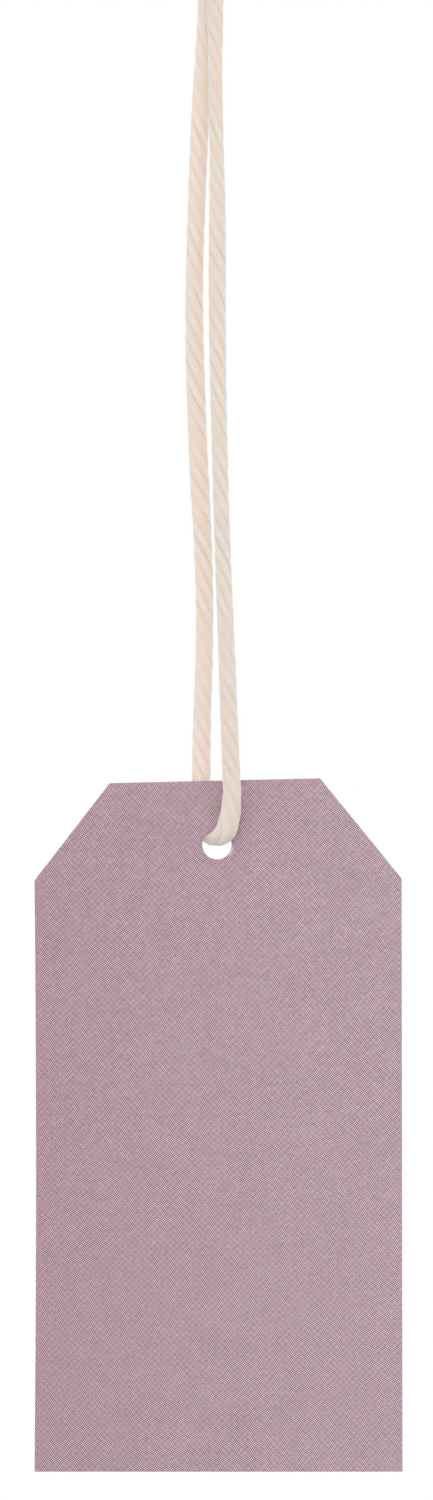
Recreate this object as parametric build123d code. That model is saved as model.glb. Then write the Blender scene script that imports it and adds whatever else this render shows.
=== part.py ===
from build123d import *
from math import radians, tan
import os

# Gift tag: a die-cut card that hangs on a twisted cord, tied above the card in one overhand knot.
# Lengths are in millimetres. X runs across the card, Y from its front to its back, Z up.
# The origin is the point under the knot that the hanging cord swings about.

# Card
card_width = 45.0
card_height = 85.0           # bottom edge to the highest point of the top edge, its right end
card_thickness = 0.45
top_edge_fall = 0.6          # the top edge drops this much from its right end to its left end
left_corner_width = 9.2      # cut off the upper left corner, along the top
left_corner_drop = 12.5      # and down the side, from the highest point
right_corner_width = 10.0
right_corner_drop = 12.3
hole_diameter = 3.6
hole_depth = 8.15            # hole centre below the highest point of the top edge
hole_side_shift = 0.15       # hole centre left of the card's middle

# Cord
cord_diameter = 2.1
cord_sides = 16              # flats round the cord, which is near enough to round at this size
rim_clearance = 0.3          # between the cord and the upper rim of the hole
swing_radius = 2.6           # round end of the two strands, about the line they swing on
swing_clearance = 0.1        # between that round end and the knot above it
bend_share = 0.45            # of the shorter run beside it, which an arc of the cord takes up
measure_step_share = 0.25    # of the cord's diameter, between the points that gaps are measured on
own_bend_share = 2.4         # of the cord's diameter, along it, which is too near to count as a gap

# The cord crosses the card here, half way along the run from the front strand to the rear one
crossing = (0.0, 0.0, -104.35)

# Route of each strand from its side of the hole up to the knot
front_strand_route = [
    (0.3, -1.0, -104.35),
    (1.0, -2.25, -102.95),
    (1.72, -2.2, -99.0),
    (1.62, -2.1, -92.5),
    (1.15, -2.0, -80.5),
    (0.45, -1.75, -62.0),
    (0.0, -1.55, -42.0),
    (0.06, -1.4, -26.0),
    (-0.44, -1.25, -11.0),
    (-0.36, -1.18, -4.0),
    (-0.25, -1.15, 0.5),
]
rear_strand_route = [
    (-0.3, 1.0, -104.35),
    (-1.0, 2.25, -102.95),
    (-1.85, 2.2, -99.0),
    (-1.9, 2.1, -92.5),
    (-1.55, 2.0, -82.0),
    (-1.48, 1.85, -72.0),
    (-2.3, 1.65, -56.0),
    (-2.86, 1.5, -39.0),
    (-2.5, 1.35, -24.0),
    (-2.0, 1.25, -12.5),
    (-1.5, 1.18, -5.0),
    (-1.3, 1.15, 0.8),
]

# Overhand knot, about its own centre: up the core, once round everything and up the core again
knot_centre = (-0.8, 0.0, 10.5)
knot_route = [
    (0.2, -1.15, -7.2),
    (-1.2, -1.3, -4.0),
    (-1.6, -1.3, -0.7),
    (-1.2, -2.95, 1.3),
    (1.0, -4.3, 1.8),
    (3.9, -3.3, 1.4),
    (5.0, 0.0, 0.6),
    (3.8, 3.4, -0.3),
    (0.2, 4.7, -1.3),
    (-3.4, 3.6, -2.2),
    (-4.9, 0.5, -3.1),
    (-4.0, -2.8, -3.9),
    (-1.0, -4.3, -4.4),
    (1.9, -3.3, -5.0),
    (2.4, -0.3, -5.0),
    (1.6, 1.3, -2.9),
    (1.5, 1.3, 1.0),
    (1.3, 1.3, 5.0),
]

# Cut tails above the knot
front_tail_route = [
    (0.2, 1.5, 19.9),
    (0.9, 2.2, 24.1),
    (1.9, 3.1, 27.9),
]
rear_tail_route = [
    (-1.6, -1.5, 21.1),
    (-2.6, -2.3, 24.3),
    (-4.1, -3.3, 27.2),
]

cord_radius = cord_diameter / 2
hole_radius = hole_diameter / 2


def tie(route):
    return [Vector(point) + Vector(knot_centre) for point in route]


def turned_over(route):
    # The knot looks the same turned half round about Y, with its two strands swapped
    return [(-x, y, -z) for x, y, z in reversed(route)]


def corner_radii(route):
    radii = []
    for before, corner, after in zip(route, route[1:], route[2:]):
        run_in = corner - before
        run_out = after - corner
        half_turn = radians(run_in.get_angle(run_out)) / 2
        radii.append(bend_share * min(run_in.length, run_out.length) / tan(half_turn))
    return radii


def cord_line(name, near_side, far_side):
    # A line through the whole strand, which starts in the hole, half way along the crossing run
    points = [Vector(point) for point in near_side]
    whole_run = [Vector(far_side[0])] + points
    radii = corner_radii(whole_run)
    print(name, "bend radii", [round(radius, 1) for radius in radii])
    return FilletPolyline(Vector(crossing), *points, radius=radii)


def cord_tube(name, line):
    section = Plane(origin=line @ 0, z_dir=line % 0) * RegularPolygon(cord_radius, cord_sides)
    tube = sweep(section, path=line)
    expected = section.area * line.length
    print(name, "length", round(line.length, 1), "volume share", round(tube.volume / expected, 4))
    return tube


def least_gap(line, other):
    # Measured from point to point, leaving out what lies in the same bend
    step = measure_step_share * cord_diameter
    own_bend = own_bend_share * cord_diameter
    least = line.length + other.length
    along = [index * step for index in range(int(line.length / step))]
    across = [index * step for index in range(int(other.length / step))]
    points = [line.position_at(place, position_mode=PositionMode.LENGTH) for place in along]
    others = [other.position_at(place, position_mode=PositionMode.LENGTH) for place in across]
    for place, point in zip(along, points):
        for other_place, other_point in zip(across, others):
            beside = place + other_place if line is not other else abs(place - other_place)
            if beside > own_bend:
                least = min(least, (point - other_point).length)
    return least - cord_diameter


def swing_end(radius):
    # All the space below the swing line, with a round top about that line
    reach = card_height + knot_centre[2] - crossing[2]
    below = Pos(0, 0, -reach / 2) * Box(card_width, card_width, reach)
    return below + Rot(0, 90, 0) * Cylinder(radius, card_width)


def tag_card():
    hole_height = crossing[2] - (hole_radius - cord_radius - rim_clearance)
    middle = hole_side_shift
    left = middle - card_width / 2
    right = middle + card_width / 2
    top = hole_height + hole_depth
    bottom = top - card_height
    outline = Polyline(
        (left, bottom),
        (right, bottom),
        (right, top - right_corner_drop),
        (right - right_corner_width, top),
        (left + left_corner_width, top - top_edge_fall),
        (left, top - left_corner_drop),
        close=True,
    )
    blank = make_face(outline) - Pos(0, hole_height) * Circle(hole_radius)
    return extrude(Plane.XZ * blank, amount=card_thickness / 2, both=True)


front_route = front_strand_route + tie(knot_route) + front_tail_route
rear_route = rear_strand_route + tie(turned_over(knot_route)) + rear_tail_route
front_line = cord_line("front cord", front_route, rear_route)
rear_line = cord_line("rear cord", rear_route, front_route)
front_tube = cord_tube("front cord", front_line)
rear_tube = cord_tube("rear cord", rear_line)
print("least gap, front cord to itself", round(least_gap(front_line, front_line), 2))
print("least gap, rear cord to itself", round(least_gap(rear_line, rear_line), 2))
print("least gap, front cord to rear cord", round(least_gap(front_line, rear_line), 2))

strand_space = swing_end(swing_radius)
cleared_space = swing_end(swing_radius + swing_clearance)

pieces = {
    "tag_card": tag_card(),
    "front_strand": front_tube & strand_space,
    "rear_strand": rear_tube & strand_space,
    "front_knot_end": front_tube - cleared_space,
    "rear_knot_end": rear_tube - cleared_space,
}

os.makedirs("parts", exist_ok=True)
for name, shape in pieces.items():
    export_step(shape, f"parts/{name}.step")
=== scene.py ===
import math
import bpy
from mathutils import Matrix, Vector
from mathutils.geometry import delaunay_2d_cdt
from mathutils.noise import noise


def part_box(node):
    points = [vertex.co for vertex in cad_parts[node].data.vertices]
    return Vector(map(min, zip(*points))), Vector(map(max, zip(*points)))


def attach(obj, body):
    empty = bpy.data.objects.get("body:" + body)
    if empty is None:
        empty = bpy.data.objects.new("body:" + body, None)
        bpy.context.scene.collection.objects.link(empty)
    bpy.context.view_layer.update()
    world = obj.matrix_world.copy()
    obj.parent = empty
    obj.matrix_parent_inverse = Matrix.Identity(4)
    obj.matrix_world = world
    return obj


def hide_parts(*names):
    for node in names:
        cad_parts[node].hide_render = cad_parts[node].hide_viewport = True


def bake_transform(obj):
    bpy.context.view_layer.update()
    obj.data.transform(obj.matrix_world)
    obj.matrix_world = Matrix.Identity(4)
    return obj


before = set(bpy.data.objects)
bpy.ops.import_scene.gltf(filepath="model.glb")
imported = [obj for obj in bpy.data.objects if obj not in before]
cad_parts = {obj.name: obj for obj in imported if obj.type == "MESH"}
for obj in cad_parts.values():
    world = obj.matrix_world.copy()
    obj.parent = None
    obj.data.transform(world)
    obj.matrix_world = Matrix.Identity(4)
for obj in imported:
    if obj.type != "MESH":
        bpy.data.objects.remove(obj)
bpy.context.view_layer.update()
noiseMiddle = 0.5      # a noise texture swings about this value


# Helpers for any node tree
def addNode(tree, kind, values=None, **settings):
    node = tree.nodes.new(kind)
    for name, value in settings.items():
        setattr(node, name, value)
    for socket, value in (values or {}).items():
        if isinstance(value, bpy.types.NodeSocket):
            tree.links.new(value, node.inputs[socket])
        else:
            node.inputs[socket].default_value = value
    return node


def mathNode(tree, operation, *values):
    return addNode(tree, "ShaderNodeMath", dict(enumerate(values)), operation=operation).outputs[0]


def vectorNode(tree, operation, *values):
    node = addNode(tree, "ShaderNodeVectorMath", dict(enumerate(values)), operation=operation)
    return node.outputs["Value" if operation in ("DOT_PRODUCT", "LENGTH", "DISTANCE") else "Vector"]


def scaledVector(tree, vector, factor):
    values = {0: vector, "Scale": factor}
    return addNode(tree, "ShaderNodeVectorMath", values, operation="SCALE").outputs["Vector"]


def joinAxes(tree, x=0.0, y=0.0, z=0.0):
    return addNode(tree, "ShaderNodeCombineXYZ", {"X": x, "Y": y, "Z": z}).outputs[0]


def oneAxis(tree, vector, axis):
    return addNode(tree, "ShaderNodeSeparateXYZ", {0: vector}).outputs[axis]


def smoothStep(tree, value, low, high, toLow=0.0, toHigh=1.0):
    values = {"Value": value, "From Min": low, "From Max": high, "To Min": toLow, "To Max": toHigh}
    return addNode(tree, "ShaderNodeMapRange", values, interpolation_type="SMOOTHSTEP").outputs[0]


def fadeOut(tree, value, low, high):
    return smoothStep(tree, value, low, high, 1.0, 0.0)


def noiseNode(tree, place, settings, output="Fac"):
    return addNode(tree, "ShaderNodeTexNoise", {"Vector": place, **settings}).outputs[output]


# Helpers for materials
def newMaterial(name):
    material = bpy.data.materials.new(name)
    material.use_nodes = True
    return material, material.node_tree, material.node_tree.nodes["Principled BSDF"]


def objectPlace(tree):
    return addNode(tree, "ShaderNodeTexCoord").outputs["Object"]


def attributeNode(tree, name, output="Fac"):
    return addNode(tree, "ShaderNodeAttribute", attribute_name=name).outputs[output]


def mixColours(tree, share, first, second, blend="MIX"):
    values = {"Factor": share, "A": first, "B": second}
    return addNode(tree, "ShaderNodeMix", values, data_type="RGBA", blend_type=blend).outputs["Result"]


def addBump(tree, shader, height, bump):
    node = addNode(tree, "ShaderNodeBump", {"Height": height, **bump})
    tree.links.new(node.outputs[0], shader.inputs["Normal"])


def setFinish(shader, finish):
    for socket, value in finish.items():
        shader.inputs[socket].default_value = value


# Helpers for pieces grown by Geometry Nodes
def newPiece(name, mesh):
    piece = bpy.data.objects.new(name, mesh)
    bpy.context.scene.collection.objects.link(piece)
    return piece


def newTree(name, inputs):
    # Geometry in and out, with one named input for each size
    tree = bpy.data.node_groups.new(name, "GeometryNodeTree")
    tree.interface.new_socket("Geometry", in_out="INPUT", socket_type="NodeSocketGeometry")
    tree.interface.new_socket("Geometry", in_out="OUTPUT", socket_type="NodeSocketGeometry")
    for label, kind in inputs.items():
        tree.interface.new_socket(label, in_out="INPUT", socket_type="NodeSocket" + kind)
    return tree, addNode(tree, "NodeGroupInput").outputs


def pointPlace(tree):
    return addNode(tree, "GeometryNodeInputPosition").outputs[0]


def pointNormal(tree):
    return addNode(tree, "GeometryNodeInputNormal").outputs[0]


def captureValues(tree, geometry, values):
    # Keeps each value on the points as it is at this step of the tree
    node = addNode(tree, "GeometryNodeCaptureAttribute", {"Geometry": geometry}, domain="POINT")
    for name, (kind, value) in values.items():
        node.capture_items.new(kind, name)
    for name, (kind, value) in values.items():
        tree.links.new(value, node.inputs[name])
    return node.outputs


def closeTree(tree, geometry, material):
    whole = addNode(tree, "GeometryNodeRealizeInstances", {0: geometry}).outputs[0]
    dressed = addNode(tree, "GeometryNodeSetMaterial", {"Geometry": whole, "Material": material})
    addNode(tree, "NodeGroupOutput", {0: dressed.outputs[0]})


def growPiece(name, seedMesh, tree, values):
    # Runs the tree on a seed mesh and keeps the result as a plain mesh
    piece = newPiece(name, seedMesh)
    modifier = piece.modifiers.new("grow", "NODES")
    modifier.node_group = tree
    inputs = [item for item in tree.interface.items_tree if item.in_out == "INPUT"]
    sockets = {item.name: item.identifier for item in inputs}
    for label, value in values.items():
        modifier[sockets[label]] = value
    evaluated = piece.evaluated_get(bpy.context.evaluated_depsgraph_get())
    grown = bpy.data.meshes.new_from_object(evaluated)
    piece.modifiers.remove(modifier)
    piece.data = grown
    grown.name = name
    return piece


# Camera, level with the middle of the picture, square to the card
picture = {
    "high": 0.18393,       # metres of the card's plane that the picture takes in
    "middle": Vector((-0.00005, 0, -0.09319)),
    "distance": 1.2,
    "sensor": 36.0,
    "clip": (0.01, 20.0),
}


def makeCamera():
    camera = bpy.data.objects.new("camera", bpy.data.cameras.new("camera"))
    bpy.context.scene.collection.objects.link(camera)
    camera.data.sensor_fit = "AUTO"
    camera.data.sensor_width = picture["sensor"]
    camera.data.lens = picture["sensor"] * picture["distance"] / picture["high"]
    camera.location = picture["middle"] + Vector((0, -picture["distance"], 0))
    camera.rotation_euler = (math.radians(90), 0, 0)
    camera.data.clip_start, camera.data.clip_end = picture["clip"]
    bpy.context.scene.camera = camera


makeCamera()
print("camera placed")


# Cotton cord: fibres laid in plies, creamy, with painted shade, warmer and darker, down in the grooves
cotton = {
    "cream": (0.856, 0.724, 0.619, 1),
    "paleCream": (0.905, 0.797, 0.706, 1),
    # painted shade, the colour put down in the grooves between the plies
    "grooveShade": (0.735, 0.590, 0.466, 1),
    "plyStep": 17.3,               # gives each ply streaks of its own
    "streakRate": (7.0, 260.0),    # across the ply and along it, so that streaks are long and thin
    "streaks": {"Scale": 1.6, "Detail": 4.0, "Roughness": 0.6},
    "tintRate": 210.0,
    "tint": {"Scale": 1.0, "Detail": 2.0},
    "paleRange": (0.75, 1.25),     # of streaks and tint together
    "grooveShadeRange": (0.18, 0.52),   # painted groove shade grows from the middle of a ply to its border
    "grooveShadeTint": (0.38, 0.66),    # the painted groove shade comes and goes with the tint
    "grooveShadeStrength": (0.12, 1.1),
    "fuzz": {"Scale": 6500.0, "Detail": 3.0},
    "fuzzRelief": 0.5,             # beside that of the streaks
    "bump": {"Strength": 0.5, "Distance": 0.00006},
    "finish": {
        "Roughness": 0.92,
        "Specular IOR Level": 0.15,
        "Sheen Weight": 1.0,
        "Sheen Roughness": 0.6,
        "Subsurface Weight": 0.4,
        "Subsurface Radius": (1.0, 0.8, 0.65),
        "Subsurface Scale": 0.0005,
    },
}


def cottonMaterial():
    material, tree, shader = newMaterial("cotton_cord")
    across, along, ply = (attributeNode(tree, name) for name in ("across", "along", "ply"))
    acrossRate, alongRate = cotton["streakRate"]
    plyShift = mathNode(tree, "MULTIPLY", ply, cotton["plyStep"])
    streakPlace = joinAxes(tree, mathNode(tree, "MULTIPLY", across, acrossRate),
                           mathNode(tree, "MULTIPLY", along, alongRate), plyShift)
    streaks = noiseNode(tree, streakPlace, cotton["streaks"])
    tintPlace = joinAxes(tree, plyShift, mathNode(tree, "MULTIPLY", along, cotton["tintRate"]))
    tint = noiseNode(tree, tintPlace, cotton["tint"])
    pale = smoothStep(tree, mathNode(tree, "ADD", streaks, tint), *cotton["paleRange"])
    body = mixColours(tree, pale, cotton["cream"], cotton["paleCream"])
    # Painted shade: darker and warmer towards each ply's border, down in the grooves
    depth = smoothStep(tree, mathNode(tree, "ABSOLUTE", across), *cotton["grooveShadeRange"])
    shadeStrength = smoothStep(tree, tint, *cotton["grooveShadeTint"], *cotton["grooveShadeStrength"])
    shaded = mixColours(tree, mathNode(tree, "MULTIPLY", depth, shadeStrength), body, cotton["grooveShade"])
    # Painted light and shade: the stored tone makes the rear strand lighter and the front strand darker
    paintedLit = vectorNode(tree, "MULTIPLY", shaded, attributeNode(tree, "tone", "Vector"))
    tree.links.new(paintedLit, shader.inputs["Base Color"])
    fuzz = noiseNode(tree, objectPlace(tree), cotton["fuzz"])
    relief = mathNode(tree, "ADD", streaks, mathNode(tree, "MULTIPLY", fuzz, cotton["fuzzRelief"]))
    addBump(tree, shader, relief, cotton["bump"])
    setFinish(shader, cotton["finish"])
    return material


# The cord: one length through the hole, in two halves that meet there
cord = {
    "diameter": 0.0021,
    "plies": 5,
    "plyRadius": 0.00080,
    "plyOffset": 0.00028,
    "plyNudge": 0.001,             # of a ply, so that its border always falls on the same side
    "sectionPoints": 70,
    "endCorners": 5.0,             # a face with this many corners or more closes an end
    "ringStep": 0.0003,
    "layLength": 0.0135,
    "layWander": 0.9,              # radians that the twist runs ahead or behind, here and there
    "wanderRate": 0.9,             # changes in each lay length
    "wanderNoise": {"Scale": 1.0, "Detail": 1.0},
    "pinch": 0.14,                 # thinner by this share where the rim of the hole bites in
    "pinchReach": 0.0009,
    "press": 0.18,                 # wider by this share, and flatter, where it lies on the card
    "pressPlace": 0.0024,
    "pressReach": 0.0085,
    "pressWay": (1, -1, 1),        # out along the card, in towards it
    "flare": 0.22,                 # wider by this share at the cut ends
    "flareReach": 0.0030,
    "uneven": 0.00006,             # plies swell and thin by this much
    "unevenRate": 220.0,
    "unevenPlyStep": 3.7,
    "unevenNoise": {"Scale": 1.0},
    "strandLength": 0.10,          # hole to knot
    "ownGirthShare": 0.8,          # of that length, which has the strand's own girth
    "neckStart": (0.071, 0.086),   # from the hole, where a strand drawn thin under the knot tapers
    "neckEnd": (0.094, 0.107),     # and where it is full again
    # the knot and tails carry neither painted light nor painted shade
    "knotTone": (1, 1, 1),
    "paintedLightEnd": (0.102, 0.110),     # where a strand's painted light and shade give way to the plain colour of the knot
    "routeOrder": 3,
    "routeSteps": 24,
    "crossing": (0.0, 0.0, -0.10394),
    "knotCentre": (-0.0008, 0.0, 0.0105),
    "knotTightness": 0.85,
    "bendStart": (0, 0, -0.0042),
    "bendEnd": (0, 0, 0.0038),
}

frontStrand = [
    (0.00026, -0.00092, -0.10394),
    (0.00118, -0.00150, -0.10312),
    (0.00154, -0.00164, -0.10175),
    (0.00190, -0.00164, -0.09920),
    (0.00174, -0.00162, -0.09580),
    (0.00158, -0.00172, -0.09150),
    (0.00115, -0.00185, -0.08050),
    (0.00045, -0.00175, -0.06200),
    (0.00000, -0.00155, -0.04200),
    (0.00010, -0.00140, -0.02600),
    (-0.00022, -0.00125, -0.01100),
    (-0.00020, -0.00118, -0.00400),
    (-0.00025, -0.00115, 0.00050),
]

rearStrand = [
    (-0.00026, 0.00092, -0.10394),
    (-0.00118, 0.00150, -0.10312),
    (-0.00164, 0.00164, -0.10175),
    (-0.00196, 0.00164, -0.09920),
    (-0.00192, 0.00162, -0.09580),
    (-0.00190, 0.00172, -0.09150),
    (-0.00155, 0.00185, -0.08200),
    (-0.00148, 0.00185, -0.07200),
    (-0.00238, 0.00165, -0.05600),
    (-0.00290, 0.00150, -0.03900),
    (-0.00245, 0.00135, -0.02400),
    (-0.00192, 0.00125, -0.01250),
    (-0.00138, 0.00118, -0.00500),
    (-0.00120, 0.00115, 0.00080),
]

# Overhand knot about its own centre: up the core, once round everything, up the core again
knotTurn = [
    (0.0002, -0.00115, -0.0072),
    (-0.0012, -0.00130, -0.0040),
    (-0.0016, -0.00130, -0.0007),
    (-0.0012, -0.00295, 0.0013),
    (0.0010, -0.00430, 0.0018),
    (0.0039, -0.00330, 0.0014),
    (0.0050, 0.00000, 0.0006),
    (0.0038, 0.00340, -0.0003),
    (0.0002, 0.00470, -0.0013),
    (-0.0034, 0.00360, -0.0022),
    (-0.0049, 0.00050, -0.0031),
    (-0.0040, -0.00280, -0.0039),
    (-0.0010, -0.00430, -0.0044),
    (0.0019, -0.00330, -0.0050),
    (0.0024, -0.00030, -0.0050),
    (0.0016, 0.00130, -0.0029),
    (0.0015, 0.00130, 0.0010),
    (0.0013, 0.00130, 0.0050),
]

# The knot looks the same turned half round, with its two strands swapped
rearTurn = [(-x, y, -z) for x, y, z in reversed(knotTurn)]

frontTail = [
    (0.0002, 0.0015, 0.0199),
    (0.0009, 0.0022, 0.0241),
    (0.0019, 0.0031, 0.0279),
]

rearTail = [
    (-0.0016, -0.0015, 0.0211),
    (-0.0026, -0.0023, 0.0243),
    (-0.0041, -0.0033, 0.0272),
]

# What is each half's own: its way, its girth and slow swell, how thin it is drawn, and its tone, which is
# painted light on the rear strand and painted shade on the front strand
halves = {
    "front_cord": {
        "strand": frontStrand,
        "turn": knotTurn,
        "tail": frontTail,
        "nodes": ("front_strand", "front_knot_end"),
        "startTurn": 0.0,
        "girth": 0.98,
        "swell": 0.07,
        "swellLength": 0.088,
        "neck": 0.21,
        # painted shade: the front strand made darker and greyer as a whole
        "tone": (0.971, 0.984, 1.004),
    },
    "rear_cord": {
        "strand": rearStrand,
        "turn": rearTurn,
        "tail": rearTail,
        "nodes": ("rear_strand", "rear_knot_end"),
        "startTurn": math.pi,
        "girth": 1.05,
        "swell": 0.045,
        "swellLength": 0.050,
        "neck": 0.0,
        # painted light: the rear strand made lighter as a whole
        "tone": (1.035, 1.028, 1.040),
    },
}


def tieKnot(turn):
    centre = Vector(cord["knotCentre"])
    return [tuple(centre + cord["knotTightness"] * Vector(point)) for point in turn]


def smoothRoute(name, points):
    # A spline on the route's points, read back as the line that the cord follows
    curve = bpy.data.curves.new(name, "CURVE")
    curve.dimensions = "3D"
    curve.resolution_u = cord["routeSteps"]
    spline = curve.splines.new("NURBS")
    spline.points.add(len(points) - 1)
    for place, point in zip(spline.points, points):
        place.co = (*point, 1)
    spline.order_u = cord["routeOrder"]
    spline.use_endpoint_u = True
    holder = newPiece(name, curve)
    line = bpy.data.meshes.new_from_object(holder)
    bpy.data.objects.remove(holder)
    return line


def onSides(tree):
    corners = addNode(tree, "GeometryNodeInputMeshFaceNeighbors").outputs["Vertex Count"]
    return mathNode(tree, "LESS_THAN", corners, cord["endCorners"])


def plySection(tree, sizes):
    # Overlapping round plies, worked out by the angle round the cord
    ring = addNode(tree, "GeometryNodeCurvePrimitiveCircle", {
        "Resolution": cord["sectionPoints"], "Radius": 1.0,
    })
    here = pointPlace(tree)
    angle = mathNode(tree, "ARCTAN2", oneAxis(tree, here, "Y"), oneAxis(tree, here, "X"))
    turn = mathNode(tree, "DIVIDE", angle, math.tau)
    plyTurn = mathNode(tree, "MULTIPLY", turn, sizes["Ply count"])
    plyNumber = mathNode(tree, "FLOOR", mathNode(tree, "ADD", plyTurn, cord["plyNudge"]))
    plyMiddle = mathNode(tree, "ADD", plyNumber, 1 / 2)
    across = mathNode(tree, "SUBTRACT", plyTurn, plyMiddle)
    offCrest = mathNode(tree, "MULTIPLY", mathNode(tree, "DIVIDE", across, sizes["Ply count"]), math.tau)
    side = mathNode(tree, "MULTIPLY", sizes["Ply offset"], mathNode(tree, "SINE", offCrest))
    ahead = mathNode(tree, "MULTIPLY", sizes["Ply offset"], mathNode(tree, "COSINE", offCrest))
    squares = mathNode(tree, "SUBTRACT", mathNode(tree, "POWER", sizes["Ply radius"], 2.0),
                       mathNode(tree, "POWER", side, 2.0))
    radius = mathNode(tree, "ADD", ahead, mathNode(tree, "SQRT", squares))
    outline = joinAxes(tree, mathNode(tree, "MULTIPLY", radius, mathNode(tree, "COSINE", angle)),
                       mathNode(tree, "MULTIPLY", radius, mathNode(tree, "SINE", angle)))
    kept = captureValues(tree, ring.outputs["Curve"], {
        "across": ("FLOAT", across), "ply": ("FLOAT", plyNumber),
    })
    section = addNode(tree, "GeometryNodeSetPosition", {"Geometry": kept["Geometry"], "Position": outline})
    return section.outputs[0], kept


def cordTilt(tree, sizes, lengthSoFar, pastHole):
    # Left-handed, once round in each lay length
    laid = mathNode(tree, "DIVIDE", lengthSoFar, sizes["Lay length"])
    wanderPlace = joinAxes(tree, mathNode(tree, "MULTIPLY", laid, cord["wanderRate"]), sizes["Start turn"])
    wander = mathNode(tree, "SUBTRACT", noiseNode(tree, wanderPlace, cord["wanderNoise"]), noiseMiddle)
    strayed = mathNode(tree, "MULTIPLY", wander, sizes["Lay wander"])
    laidTurn = mathNode(tree, "ADD", mathNode(tree, "MULTIPLY", laid, math.tau),
                        mathNode(tree, "MULTIPLY", strayed, pastHole))
    return mathNode(tree, "SUBTRACT", sizes["Start turn"], laidTurn)


def cordThickness(tree, sizes, lengthSoFar, pastHole):
    # Thinner in the hole and in the neck, wider at the cut end, with the strand's own girth between
    nearHole = fadeOut(tree, lengthSoFar, 0.0, sizes["Pinch reach"])
    thinner = mathNode(tree, "MULTIPLY", nearHole, sizes["Pinch"])
    wholeLength = addNode(tree, "GeometryNodeSplineLength").outputs["Length"]
    toEnd = mathNode(tree, "SUBTRACT", wholeLength, lengthSoFar)
    nearEnd = fadeOut(tree, toEnd, 0.0, sizes["Flare reach"])
    wider = mathNode(tree, "MULTIPLY", nearEnd, sizes["Flare"])
    swells = mathNode(tree, "DIVIDE", lengthSoFar, sizes["Swell length"])
    wave = mathNode(tree, "COSINE", mathNode(tree, "MULTIPLY", math.tau, swells))
    slowSwell = mathNode(tree, "MULTIPLY", wave, sizes["Swell"])
    ownGirthEnd = mathNode(tree, "MULTIPLY", sizes["Strand length"], cord["ownGirthShare"])
    belowKnot = fadeOut(tree, lengthSoFar, ownGirthEnd, sizes["Strand length"])
    onStrand = mathNode(tree, "MULTIPLY", pastHole, belowKnot)
    ownGirth = mathNode(tree, "ADD", mathNode(tree, "SUBTRACT", sizes["Girth"], 1.0), slowSwell)
    girth = mathNode(tree, "ADD", 1.0, mathNode(tree, "MULTIPLY", onStrand, ownGirth))
    neck = mathNode(tree, "MULTIPLY", smoothStep(tree, lengthSoFar, *cord["neckStart"]),
                    fadeOut(tree, lengthSoFar, *cord["neckEnd"]))
    drawn = mathNode(tree, "SUBTRACT", girth, mathNode(tree, "MULTIPLY", neck, sizes["Neck"]))
    return mathNode(tree, "ADD", mathNode(tree, "SUBTRACT", drawn, thinner), wider)


def plyPush(tree, sizes, ply, along):
    # Plies swell and thin a little along the cord
    unevenPlace = joinAxes(tree, mathNode(tree, "MULTIPLY", ply, cord["unevenPlyStep"]),
                           mathNode(tree, "MULTIPLY", along, cord["unevenRate"]))
    swell = mathNode(tree, "SUBTRACT", noiseNode(tree, unevenPlace, cord["unevenNoise"]), noiseMiddle)
    clearOfHole = smoothStep(tree, along, 0.0, sizes["Press place"])
    push = mathNode(tree, "MULTIPLY", swell, mathNode(tree, "MULTIPLY", clearOfHole, sizes["Uneven"]))
    return scaledVector(tree, pointNormal(tree), push)


cordSizes = (
    "Ply count", "Ply radius", "Ply offset", "Lay length", "Lay wander", "Ring step", "Start turn",
    "Pinch", "Pinch reach", "Press", "Press place", "Press reach", "Flare", "Flare reach",
    "Girth", "Swell", "Swell length", "Strand length", "Neck", "Uneven",
)


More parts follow.
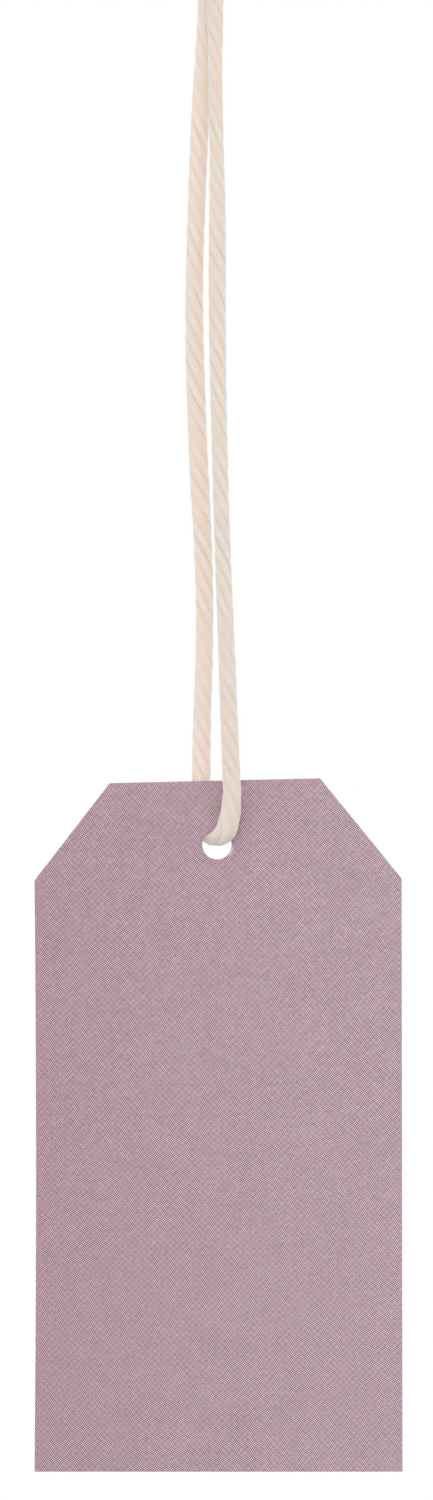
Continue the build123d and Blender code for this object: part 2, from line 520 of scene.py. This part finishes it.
def twistedCordTree():
    tree, sizes = newTree("twisted_cord", {
        **dict.fromkeys(cordSizes, "Float"), "Painted light and shade": "Vector", "Material": "Material",
    })
    section, kept = plySection(tree, sizes)
    line = addNode(tree, "GeometryNodeMeshToCurve", {"Mesh": sizes["Geometry"]}).outputs[0]
    rings = addNode(tree, "GeometryNodeResampleCurve", {
        "Curve": line, "Length": sizes["Ring step"],
    }, mode="LENGTH").outputs[0]
    lengthSoFar = addNode(tree, "GeometryNodeSplineParameter").outputs["Length"]
    # Nothing wanders in the hole, where the plies of both halves meet
    pastHole = smoothStep(tree, lengthSoFar, 0.0, sizes["Press place"])
    tilt = cordTilt(tree, sizes, lengthSoFar, pastHole)
    twisted = addNode(tree, "GeometryNodeSetCurveTilt", {"Curve": rings, "Tilt": tilt}).outputs[0]
    thickness = cordThickness(tree, sizes, lengthSoFar, pastHole)
    sized = addNode(tree, "GeometryNodeSetCurveRadius", {"Curve": twisted, "Radius": thickness}).outputs[0]
    # Where the cord is pulled against the card it spreads sideways and goes flat
    pressDown = fadeOut(tree, lengthSoFar, sizes["Press place"], sizes["Press reach"])
    pressed = mathNode(tree, "MULTIPLY", sizes["Press"], mathNode(tree, "MULTIPLY", pastHole, pressDown))
    # A strand has its painted light and shade only between the hole and the knot
    ownPaintedLight = vectorNode(tree, "SUBTRACT", sizes["Painted light and shade"], cord["knotTone"])
    paintedLightShare = mathNode(tree, "MULTIPLY", pastHole, fadeOut(tree, lengthSoFar, *cord["paintedLightEnd"]))
    tone = vectorNode(tree, "ADD", cord["knotTone"], scaledVector(tree, ownPaintedLight, paintedLightShare))
    placed = captureValues(tree, sized, {
        "along": ("FLOAT", lengthSoFar), "pressed": ("FLOAT", pressed),
        "middle": ("VECTOR", pointPlace(tree)), "tone": ("VECTOR", tone),
    })
    tube = addNode(tree, "GeometryNodeCurveToMesh", {
        "Curve": placed["Geometry"], "Profile Curve": section, "Scale": thickness, "Fill Caps": True,
    }).outputs[0]
    push = plyPush(tree, sizes, kept["ply"], placed["along"])
    offMiddle = vectorNode(tree, "SUBTRACT", pointPlace(tree), placed["middle"])
    spread = vectorNode(tree, "MULTIPLY", offMiddle, cord["pressWay"])
    flattened = scaledVector(tree, spread, placed["pressed"])
    surface = addNode(tree, "GeometryNodeSetPosition", {
        "Geometry": tube, "Offset": vectorNode(tree, "ADD", push, flattened),
    }).outputs[0]
    for name, kind, value in (
        ("across", "FLOAT", kept["across"]),
        ("ply", "FLOAT", kept["ply"]),
        ("along", "FLOAT", placed["along"]),
        ("tone", "FLOAT_VECTOR", placed["tone"]),
    ):
        surface = addNode(tree, "GeometryNodeStoreNamedAttribute", {
            "Geometry": surface, "Name": name, "Value": value,
        }, data_type=kind, domain="POINT").outputs[0]
    # The two end faces stay flat, so that no shade shows where the halves meet
    smooth = addNode(tree, "GeometryNodeSetShadeSmooth", {
        "Geometry": surface, "Shade Smooth": onSides(tree),
    })
    closeTree(tree, smooth.outputs[0], sizes["Material"])
    return tree


def makeCord(name, half, tree, material):
    route = [cord["crossing"]] + half["strand"] + tieKnot(half["turn"]) + half["tail"]
    line = smoothRoute(name + "_line", route)
    path = [tuple(vertex.co) for vertex in line.vertices]
    piece = growPiece(name, line, tree, {
        "Ply count": float(cord["plies"]), "Ply radius": cord["plyRadius"], "Ply offset": cord["plyOffset"],
        "Lay length": cord["layLength"], "Lay wander": cord["layWander"], "Ring step": cord["ringStep"],
        "Pinch": cord["pinch"], "Pinch reach": cord["pinchReach"],
        "Press": cord["press"], "Press place": cord["pressPlace"], "Press reach": cord["pressReach"],
        "Flare": cord["flare"], "Flare reach": cord["flareReach"],
        "Strand length": cord["strandLength"], "Uneven": cord["uneven"],
        "Start turn": half["startTurn"], "Girth": half["girth"], "Neck": half["neck"],
        "Swell": half["swell"], "Swell length": half["swellLength"],
        "Painted light and shade": half["tone"], "Material": material,
    })
    length = sum((Vector(there) - Vector(here)).length for here, there in zip(path, path[1:]))
    return piece, path, length


# Loose fibres of the same cotton: lint all over, a fray at the cut ends and a few longer strays
lint = {
    "palest": (0.98, 0.93, 0.87, 1),
    "tone": {"Scale": 900.0},              # paler one by one
    "finish": {"Roughness": 0.8, "Specular IOR Level": 0.2},
    # Density per square metre, thickness as a share of the length, bend and tip of a fibre of length 1
    "kinds": {
        "fuzz": {
            "density": 2.4e6, "length": 0.00055, "thickness": 0.016,
            "bend": (0.35, 0.05, 0.3), "tip": (1.0, -0.1, 0.4), "seedStep": 0.0,
        },
        "fray": {
            "density": 1.3e8, "length": 0.0015, "thickness": 0.016,
            "bend": (0.03, 0.0, 0.5), "tip": (0.30, 0.06, 1.0), "seedStep": 7.0,
        },
        "stray": {
            "density": 3.0e5, "length": 0.0011, "thickness": 0.012,
            "bend": (0.35, 0.15, 0.45), "tip": (1.0, -0.2, 0.5), "seedStep": 15.0,
        },
    },
    "strayFacing": 0.3,                    # strays stand only on the sides that face away from the card
    "lengthSpread": (0.25, 1.2),
    "fibreSteps": 4,
    "fibreSides": 3,
    "bareReach": 0.006,                    # none this near the hole, where the cord rubs
    "curl": 0.00016,
    "curlNoise": {"Scale": 1800.0},
    "seed": 11,
}
lintSizes = ("density", "length", "thickness")


def fibreMaterial():
    material, tree, shader = newMaterial("loose_fibres")
    tone = noiseNode(tree, objectPlace(tree), lint["tone"])
    colour = mixColours(tree, tone, cotton["paleCream"], lint["palest"])
    tree.links.new(colour, shader.inputs["Base Color"])
    setFinish(shader, lint["finish"])
    return material


def lintLabel(kind, size):
    return f"{kind} {size}".capitalize()


def scatterFibres(tree, sizes, kind, chosen, clearOfHole):
    shape = lint["kinds"][kind]
    density, length, thickness = (sizes[lintLabel(kind, size)] for size in lintSizes)
    seed = mathNode(tree, "ADD", sizes["Seed"], shape["seedStep"])
    roots = addNode(tree, "GeometryNodeDistributePointsOnFaces", {
        "Mesh": sizes["Geometry"], "Selection": chosen, "Seed": seed,
        "Density": mathNode(tree, "MULTIPLY", density, clearOfHole),
    })
    line = addNode(tree, "GeometryNodeCurveQuadraticBezier", {
        "Resolution": lint["fibreSteps"], "Start": (0, 0, 0), "Middle": shape["bend"], "End": shape["tip"],
    })
    section = addNode(tree, "GeometryNodeCurvePrimitiveCircle", {
        "Resolution": lint["fibreSides"], "Radius": thickness,
    })
    fibre = addNode(tree, "GeometryNodeCurveToMesh", {
        "Curve": line.outputs[0], "Profile Curve": section.outputs["Curve"], "Fill Caps": True,
    })
    # Given its finish here too, so that no empty material slot is left
    dressed = addNode(tree, "GeometryNodeSetMaterial", {
        "Geometry": fibre.outputs[0], "Material": sizes["Material"],
    })
    spin = addNode(tree, "FunctionNodeRandomValue", {"Max": math.tau, "Seed": seed}, data_type="FLOAT")
    spinTurn = addNode(tree, "FunctionNodeEulerToRotation", {0: joinAxes(tree, z=spin.outputs["Value"])})
    turned = addNode(tree, "FunctionNodeRotateRotation", {
        "Rotation": roots.outputs["Rotation"], "Rotate By": spinTurn.outputs[0],
    }, rotation_space="LOCAL")
    shortest, longest = lint["lengthSpread"]
    share = addNode(tree, "FunctionNodeRandomValue", {
        "Min": shortest, "Max": longest, "Seed": mathNode(tree, "ADD", seed, 1.0),
    }, data_type="FLOAT")
    fibres = addNode(tree, "GeometryNodeInstanceOnPoints", {
        "Points": roots.outputs["Points"], "Instance": dressed.outputs[0], "Rotation": turned.outputs[0],
        "Scale": mathNode(tree, "MULTIPLY", share.outputs["Value"], length),
    })
    return fibres.outputs[0]


def lintTree():
    kindSizes = [lintLabel(kind, size) for kind in lint["kinds"] for size in lintSizes]
    tree, sizes = newTree("cord_lint", {
        **dict.fromkeys(kindSizes + ["Stray facing", "Bare reach", "Curl"], "Float"),
        "Seed": "Int", "Material": "Material",
    })
    alongNode = addNode(tree, "GeometryNodeInputNamedAttribute", {"Name": "along"}, data_type="FLOAT")
    clearOfHole = mathNode(tree, "GREATER_THAN", alongNode.outputs["Attribute"], sizes["Bare reach"])
    onSide = onSides(tree)
    onCut = mathNode(tree, "SUBTRACT", 1.0, onSide)
    # The card hangs in the plane between the strands, so each strand has its own side away from it
    depth = oneAxis(tree, pointPlace(tree), "Y")
    facing = oneAxis(tree, pointNormal(tree), "Y")
    facingOut = mathNode(tree, "MULTIPLY", mathNode(tree, "SIGN", depth), facing)
    turnedOut = mathNode(tree, "GREATER_THAN", facingOut, sizes["Stray facing"])
    offCard = mathNode(tree, "MULTIPLY", onSide, turnedOut)
    joined = addNode(tree, "GeometryNodeJoinGeometry")
    for kind, chosen in (("fuzz", onSide), ("fray", onCut), ("stray", offCard)):
        tree.links.new(scatterFibres(tree, sizes, kind, chosen, clearOfHole), joined.inputs[0])
    # Made real first, so that each fibre curls by itself
    whole = addNode(tree, "GeometryNodeRealizeInstances", {0: joined.outputs[0]}).outputs[0]
    wander = noiseNode(tree, pointPlace(tree), lint["curlNoise"], "Color")
    bend = scaledVector(tree, vectorNode(tree, "SUBTRACT", wander, (noiseMiddle,) * 3), sizes["Curl"])
    curled = addNode(tree, "GeometryNodeSetPosition", {"Geometry": whole, "Offset": bend}).outputs[0]
    flat = addNode(tree, "GeometryNodeSetShadeSmooth", {"Geometry": curled, "Shade Smooth": False})
    closeTree(tree, flat.outputs[0], sizes["Material"])
    return tree


def makeLint(name, cordPiece, tree, material):
    kinds = lint["kinds"].items()
    kindValues = {lintLabel(kind, size): shape[size] for kind, shape in kinds for size in lintSizes}
    piece = growPiece(name, cordPiece.data, tree, {
        **kindValues, "Stray facing": lint["strayFacing"], "Bare reach": lint["bareReach"],
        "Curl": lint["curl"], "Seed": lint["seed"], "Material": material,
    })
    print(name, len(piece.data.polygons), "faces")
    return piece


cordTree = twistedCordTree()
fibreTree = lintTree()
cottonFinish = cottonMaterial()
lintFinish = fibreMaterial()
for name, half in halves.items():
    piece, path, length = makeCord(name, half, cordTree, cottonFinish)
    fibres = makeLint(name + "_lint", piece, fibreTree, lintFinish)
    for soft in (piece, fibres):
        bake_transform(soft)
    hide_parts(*half["nodes"])
print("cords made")


# Printed face: two screens of ink dots that cross on pale board, worn off along the cuts
ink = {
    "board": (0.80, 0.74, 0.73, 1),
    "tint": (0.928, 0.698, 0.785, 1),
    "dotPitch": 0.000218,
    "dotSoftness": 0.72,
    # Angle in degrees, and the height that the dots are cut at: lower cuts print larger dots
    "screens": {
        "plum": {"colour": (0.535, 0.480, 0.503, 1), "angle": 34.0, "cut": 0.1},
        "slate": {"colour": (0.230, 0.176, 0.194, 1), "angle": 56.7, "cut": 0.1},
    },
    # Uneven ink: tinted patches, fine grain, lighter and darker patches, and faint bars across
    "uneven": {
        "hue": {"output": "Color", "scale": 600.0, "stretch": 1.0, "detail": 2.0, "gain": 0.20},
        "grain": {"output": "Fac", "scale": 2600.0, "stretch": 1.0, "detail": 0.0, "gain": 0.30},
        "tone": {"output": "Fac", "scale": 170.0, "stretch": 0.7, "detail": 3.0, "gain": 0.16},
        "bars": {"output": "Fac", "scale": 600.0, "stretch": 0.03, "detail": 2.0, "gain": 0.05},
    },
    "unevenRoughness": 0.8,
    "fade": (1.85, 3.1, 2.85),          # lighter towards the right of the card, by this share in each metre
    "tooth": {"Scale": 5200.0, "Detail": 4.0, "Roughness": 0.65},
    "toothRange": (0.3, 0.7),
    "toothRoughness": (0.54, 0.70),
    "bareRange": (0.25, 1.1),           # of wear and tooth together, from printed to bare
    "bump": {"Strength": 0.35, "Distance": 0.00003},
    "finish": {"Specular IOR Level": 0.3},
}


def dotScreen(tree, place, angle):
    # Height of a square screen of dots, from -2 between them to 2 on their middles
    turn = math.radians(angle)
    rate = math.tau / ink["dotPitch"]
    waves = [
        mathNode(tree, "COSINE", vectorNode(tree, "DOT_PRODUCT", place, (rate * along, 0, rate * up)))
        for along, up in ((math.cos(turn), math.sin(turn)), (-math.sin(turn), math.cos(turn)))
    ]
    return mathNode(tree, "ADD", *waves)


def unevenInk(tree, place, layer):
    stretched = vectorNode(tree, "MULTIPLY", place, (layer["stretch"], 1, 1))
    patch = noiseNode(tree, stretched, {
        "Scale": layer["scale"], "Detail": layer["detail"], "Roughness": ink["unevenRoughness"],
    }, layer["output"])
    gain = layer["gain"]
    return vectorNode(tree, "MULTIPLY_ADD", patch, (gain,) * 3, (1 - gain / 2,) * 3)


def printedMaterial():
    material, tree, shader = newMaterial("printed_card")
    place = objectPlace(tree)
    colour = ink["tint"]
    for screen in ink["screens"].values():
        height = dotScreen(tree, place, screen["angle"])
        outside, inside = screen["cut"] - ink["dotSoftness"], screen["cut"] + ink["dotSoftness"]
        dots = smoothStep(tree, height, outside, inside)
        colour = mixColours(tree, dots, colour, screen["colour"], "MULTIPLY")
    for layer in ink["uneven"].values():
        colour = vectorNode(tree, "MULTIPLY", colour, unevenInk(tree, place, layer))
    # The colour grows lighter towards the right of the card
    lighterRight = vectorNode(tree, "MULTIPLY_ADD", oneAxis(tree, place, "X"), ink["fade"], (1, 1, 1))
    colour = vectorNode(tree, "MULTIPLY", colour, lighterRight)
    tooth = noiseNode(tree, place, ink["tooth"])
    offTooth = mathNode(tree, "SUBTRACT", tooth, noiseMiddle)
    wear = mathNode(tree, "ADD", attributeNode(tree, "worn"), offTooth)
    colour = mixColours(tree, smoothStep(tree, wear, *ink["bareRange"]), colour, ink["board"])
    tree.links.new(colour, shader.inputs["Base Color"])
    roughness = smoothStep(tree, tooth, *ink["toothRange"], *ink["toothRoughness"])
    tree.links.new(roughness, shader.inputs["Roughness"])
    addBump(tree, shader, tooth, ink["bump"])
    setFinish(shader, ink["finish"])
    return material


# Bare paper core of the cut edges, in layers
core = {
    "pale": (0.86, 0.80, 0.78, 1),
    "shaded": (0.66, 0.57, 0.56, 1),
    "layering": (1.0, 9.0, 1.0),        # the grain is finest through the thickness
    "grain": {"Scale": 3800.0, "Detail": 4.0, "Roughness": 0.7},
    "grainRange": (0.3, 0.7),
    "bump": {"Strength": 0.6, "Distance": 0.00003},
    "finish": {"Roughness": 0.9, "Specular IOR Level": 0.15},
}


def coreMaterial():
    material, tree, shader = newMaterial("paper_core")
    layered = vectorNode(tree, "MULTIPLY", objectPlace(tree), core["layering"])
    grain = noiseNode(tree, layered, core["grain"])
    colour = mixColours(tree, smoothStep(tree, grain, *core["grainRange"]), core["shaded"], core["pale"])
    tree.links.new(colour, shader.inputs["Base Color"])
    addBump(tree, shader, grain, core["bump"])
    setFinish(shader, core["finish"])
    return material


# Card: one die-cut sheet with two clipped corners and a punched hole
card = {
    "leftCorner": (0.0092, 0.0125),     # clipped along the top and down the side
    "rightCorner": (0.0100, 0.0123),
    "topFall": 0.0006,                  # left end of the top edge below its right end
    "holeRadius": 0.0018,
    "holeDepth": 0.00815,
    "holeShift": -0.00015,
    "holeSteps": 96,
    "cornerRound": 0.00010,
    "innerRound": 0.00002,              # what is left of it on the face
    "cutStep": 0.0008,
    "gridStep": 0.0040,
    "fillTolerance": 1e-7,
    "leftHollow": 0.00018,              # the left cut wanders in by this much half way down
    "rightLean": 0.00010,               # the right cut leans out by this much at the bottom
    "cutFade": 4,                       # how soon both die out away from the cut
    "ragged": 0.000014,
    "raggedRate": 2600.0,
    "curl": 0.00035,
    "edgeLag": 2,                       # the long edges curl less than the middle
    "scuffTurn": -25.0,                 # rubbed side of the hole, in degrees from its right
    "scuffReach": 0.00025,
    "scuffWear": 0.75,
    "scuffFade": 6,                     # how soon it dies out round the hole
    # From the front face round the cut edge to the back: inset, depth, how worn
    "rings": [
        (0.00060, 0.0, 0.0),
        (0.00020, 0.0, 0.0),
        (0.00006, 0.0, 0.0),
        (0.00002, 0.00002, 0.15),
        (0.0, 0.00007, 0.5),
        (0.0, 0.00022, 1.0),
        (0.0, 0.00040, 0.9),
        (0.00003, 0.00045, 0.3),
        (0.00030, 0.00045, 0.0),
    ],
    "coreStrips": (4, 5),               # strips between rings that show the bare core
}
cardLow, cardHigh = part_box("tag_card")
holeMiddle = Vector(((cardLow.x + cardHigh.x) / 2 + card["holeShift"], cardHigh.z - card["holeDepth"]))


def clippedCorners(inset):
    # Corners from the lower left, counter-clockwise seen from the front, all moved in by the inset
    left, right = cardLow.x, cardHigh.x
    bottom, top = cardLow.z, cardHigh.z
    corners = [Vector(corner) for corner in (
        (left, bottom),
        (right, bottom),
        (right, top - card["rightCorner"][1]),
        (right - card["rightCorner"][0], top),
        (left + card["leftCorner"][0], top - card["topFall"]),
        (left, top - card["leftCorner"][1]),
    )]
    moved = []
    for before, corner, after in zip(corners[-1:] + corners, corners, corners[1:] + corners[:1]):
        edgeIn, edgeOut = (corner - before).normalized(), (after - corner).normalized()
        inward = Vector((-edgeIn.y - edgeOut.y, edgeIn.x + edgeOut.x)).normalized()
        moved.append(corner + inward * inset / inward.dot(Vector((-edgeIn.y, edgeIn.x))))
    return moved


def wanderingCut(point):
    # Sideways wander of the two long cuts, none at their upper ends
    shoulder = cardHigh.z - card["leftCorner"][1]
    fall = max((shoulder - point.y) / (shoulder - cardLow.z), 0)
    leftward = (cardHigh.x - point.x) / (cardHigh.x - cardLow.x)
    hollow = card["leftHollow"] * math.sin(math.pi * fall) * leftward ** card["cutFade"]
    lean = card["rightLean"] * fall * (1 - leftward) ** card["cutFade"]
    return Vector((hollow + lean, 0))


def clippedOutline(inset):
    corners = clippedCorners(inset)
    fullCorners = clippedCorners(0)
    softened = max(card["cornerRound"] - inset, card["innerRound"])
    points = []
    for index, corner in enumerate(corners):
        following = corners[(index + 1) % len(corners)]
        fullLength = (fullCorners[(index + 1) % len(corners)] - fullCorners[index]).length
        steps = int(fullLength / card["cutStep"])
        before = (corner - corners[index - 1]).normalized()
        after = (following - corner).normalized()
        start, end = corner - before * softened, corner + after * softened
        points += [start, corner.lerp((start + end) / 2, 1 / 2), end]
        points += [corner.lerp(following, step / steps) for step in range(1, steps)]
    return [point + wanderingCut(point) for point in points]


def holeOutline(inset):
    # Clockwise, so that the board lies on the left of the way round, as it does on the outline
    radius = card["holeRadius"] + inset
    turns = [-math.tau * step / card["holeSteps"] for step in range(card["holeSteps"])]
    return [holeMiddle + radius * Vector((math.cos(turn), math.sin(turn))) for turn in turns]


def sheetGrid():
    step = card["gridStep"]
    corners = clippedCorners(step / 2)
    columns = int((cardHigh.x - cardLow.x) / step)
    rows = int((cardHigh.z - cardLow.z) / step)
    places = [
        Vector((cardLow.x + (column + 1 / 2) * step, cardLow.z + (row + 1 / 2) * step))
        for column in range(columns) for row in range(rows)
    ]

    def onBoard(place):
        edges = zip(corners, corners[1:] + corners[:1])
        within = all((after - corner).cross(place - corner) > 0 for corner, after in edges)
        return within and (place - holeMiddle).length > card["holeRadius"] + step / 2

    return [place for place in places if onBoard(place)]


def fillSheet(loops, grid):
    # Triangles between the outline and the hole, as numbers into all the points in turn
    points = [point for loop in loops for point in loop] + grid
    edges = []
    first = 0
    for loop in loops:
        edges += [(first + step, first + (step + 1) % len(loop)) for step in range(len(loop))]
        first += len(loop)
    insideOnly = 1
    filled = delaunay_2d_cdt(points, edges, [], insideOnly, card["fillTolerance"])
    found, _, faces, sources, _, _ = filled
    holeReach = (loops[1][0] - holeMiddle).length
    kept = []
    for face in faces:
        middle = sum((found[corner] for corner in face), Vector((0, 0))) / len(face)
        if (middle - holeMiddle).length > holeReach:
            kept.append([sources[corner][0] for corner in face])
    return kept


def curlAt(point):
    # The sheet curls forward a little towards its foot
    drop = (cardHigh.z - card["holeDepth"] - point.y) / (cardHigh.z - cardLow.z)
    across = (point.x - (cardLow.x + cardHigh.x) / 2) / (cardHigh.x - cardLow.x)
    return card["curl"] * max(drop, 0) ** 2 * (card["edgeLag"] * across ** 2 - 1)


def scuffAt(point):
    # The side of the hole that is rubbed bare
    offMiddle = point - holeMiddle
    turn = math.atan2(offMiddle.y, offMiddle.x) - math.radians(card["scuffTurn"])
    near = offMiddle.length < card["holeRadius"] + card["scuffReach"]
    return card["scuffWear"] * max(math.cos(turn), 0) ** card["scuffFade"] if near else 0.0


def makeCard(printedFinish, coreFinish):
    grid = sheetGrid()
    vertices, worn, faces, finishes = [], [], [], []

    def addPoint(point, depth, wear):
        vertices.append((point.x, cardLow.y + depth + curlAt(point), point.y))
        worn.append(wear)
        return len(vertices) - 1

    rings = []
    for inset, depth, wear in card["rings"]:
        loops = (clippedOutline(inset), holeOutline(inset))
        ragged = card["ragged"] if inset == 0 else 0.0
        numbers = []
        for point in loops[0] + loops[1]:
            rough = ragged * noise(Vector((point.x, depth, point.y)) * card["raggedRate"])
            numbers.append(addPoint(point + Vector((rough, rough)), depth, max(wear, scuffAt(point))))
        rings.append((loops, numbers, depth))
    for strip, ((loops, nearer, _), (_, further, _)) in enumerate(zip(rings, rings[1:])):
        first = 0
        for loop in loops:
            for step in range(len(loop)):
                here, there = first + step, first + (step + 1) % len(loop)
                faces.append((nearer[here], further[here], further[there], nearer[there]))
                finishes.append(1 if strip in card["coreStrips"] else 0)
            first += len(loop)
    for (loops, numbers, depth), flip in ((rings[0], False), (rings[-1], True)):
        numbers = numbers + [addPoint(point, depth, 0.0) for point in grid]
        for face in fillSheet(loops, grid):
            corners = [numbers[corner] for corner in face]
            faces.append(corners[::-1] if flip else corners)
            finishes.append(0)
    mesh = bpy.data.meshes.new("die_cut_card")
    mesh.from_pydata(vertices, [], faces)
    mesh.materials.append(printedFinish)
    mesh.materials.append(coreFinish)
    mesh.polygons.foreach_set("material_index", finishes)
    mesh.polygons.foreach_set("use_smooth", [True] * len(faces))
    mesh.attributes.new("worn", "FLOAT", "POINT").data.foreach_set("value", worn)
    mesh.update()
    return newPiece("die_cut_card", mesh)


cardPiece = makeCard(printedMaterial(), coreMaterial())
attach(cardPiece, "tag")
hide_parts("tag_card")
print("card made,", len(cardPiece.data.polygons), "faces")

# Light: a white surround, brighter from above, and one wide soft lamp beside the camera
studio = {
    "white": (1, 1, 1, 1),
    "above": 1.02,
    "below": 0.58,
    "turnover": 0.6,                         # how far up and down the one goes over into the other
    "lampPower": 5.5,
    "lampSize": 0.9,
    "lampPlace": (-0.05, -1.60, 0.45),
    "floorLevel": -0.25,
    "floorHalf": 0.55,
    "floorPale": (0.9, 0.9, 0.9, 1),
    "floorBounce": (0.5, 0.49, 0.48, 1),     # what the floor throws back up
    "floorFinish": {"Roughness": 0.9, "Specular IOR Level": 0.1},
    "floorWhite": 0.55,                      # share of plain white under the tag
    "floorMiddle": 0.15,                     # radius that it starts to grow from
}


def backgroundRays(tree):
    path = addNode(tree, "ShaderNodeLightPath")
    seen = mathNode(tree, "MAXIMUM", path.outputs["Is Camera Ray"], path.outputs["Is Glossy Ray"])
    return mathNode(tree, "MAXIMUM", seen, path.outputs["Is Transmission Ray"])


def mixShaders(tree, share, first, second):
    return addNode(tree, "ShaderNodeMixShader", {0: share, 1: first, 2: second}).outputs[0]


def makeWorld():
    world = bpy.data.worlds.new("studio")
    world.use_nodes = True
    bpy.context.scene.world = world
    tree = world.node_tree
    tree.nodes.clear()
    upward = oneAxis(tree, addNode(tree, "ShaderNodeTexCoord").outputs["Generated"], "Z")
    turnover = studio["turnover"]
    level = smoothStep(tree, upward, -turnover, turnover, studio["below"], studio["above"])
    light = addNode(tree, "ShaderNodeBackground", {"Color": studio["white"], "Strength": level})
    white = addNode(tree, "ShaderNodeBackground", {"Color": studio["white"], "Strength": 1.0})
    mixed = mixShaders(tree, backgroundRays(tree), light.outputs[0], white.outputs[0])
    addNode(tree, "ShaderNodeOutputWorld", {"Surface": mixed})


def makeLamp():
    lamp = bpy.data.objects.new("lamp", bpy.data.lights.new("lamp", "AREA"))
    bpy.context.scene.collection.objects.link(lamp)
    lamp.data.energy = studio["lampPower"]
    lamp.data.shape = "DISK"
    lamp.data.size = studio["lampSize"]
    lamp.location = studio["lampPlace"]
    toCard = picture["middle"] - lamp.location
    lamp.rotation_euler = toCard.to_track_quat("-Z", "Y").to_euler()


def floorMaterial():
    material, tree, shader = newMaterial("pale_floor")
    setFinish(shader, studio["floorFinish"])
    seen = backgroundRays(tree)
    colour = mixColours(tree, seen, studio["floorBounce"], studio["floorPale"])
    tree.links.new(colour, shader.inputs["Base Color"])
    reach = vectorNode(tree, "LENGTH", vectorNode(tree, "MULTIPLY", objectPlace(tree), (1, 1, 0)))
    fade = smoothStep(tree, reach, studio["floorMiddle"], studio["floorHalf"], studio["floorWhite"], 1.0)
    white = addNode(tree, "ShaderNodeEmission", {"Color": studio["white"], "Strength": 1.0})
    share = mathNode(tree, "MULTIPLY", fade, seen)
    mixed = mixShaders(tree, share, shader.outputs[0], white.outputs[0])
    tree.links.new(mixed, tree.nodes["Material Output"].inputs["Surface"])
    return material


def makeFloor():
    half = studio["floorHalf"]
    mesh = bpy.data.meshes.new("floor")
    corners = [(-half, -half), (half, -half), (half, half), (-half, half)]
    mesh.from_pydata([(x, y, studio["floorLevel"]) for x, y in corners], [], [(0, 1, 2, 3)])
    mesh.materials.append(floorMaterial())
    newPiece("floor", mesh)


makeWorld()
makeLamp()
makeFloor()
bpy.context.scene.view_settings.view_transform = "Standard"
print("studio lit")
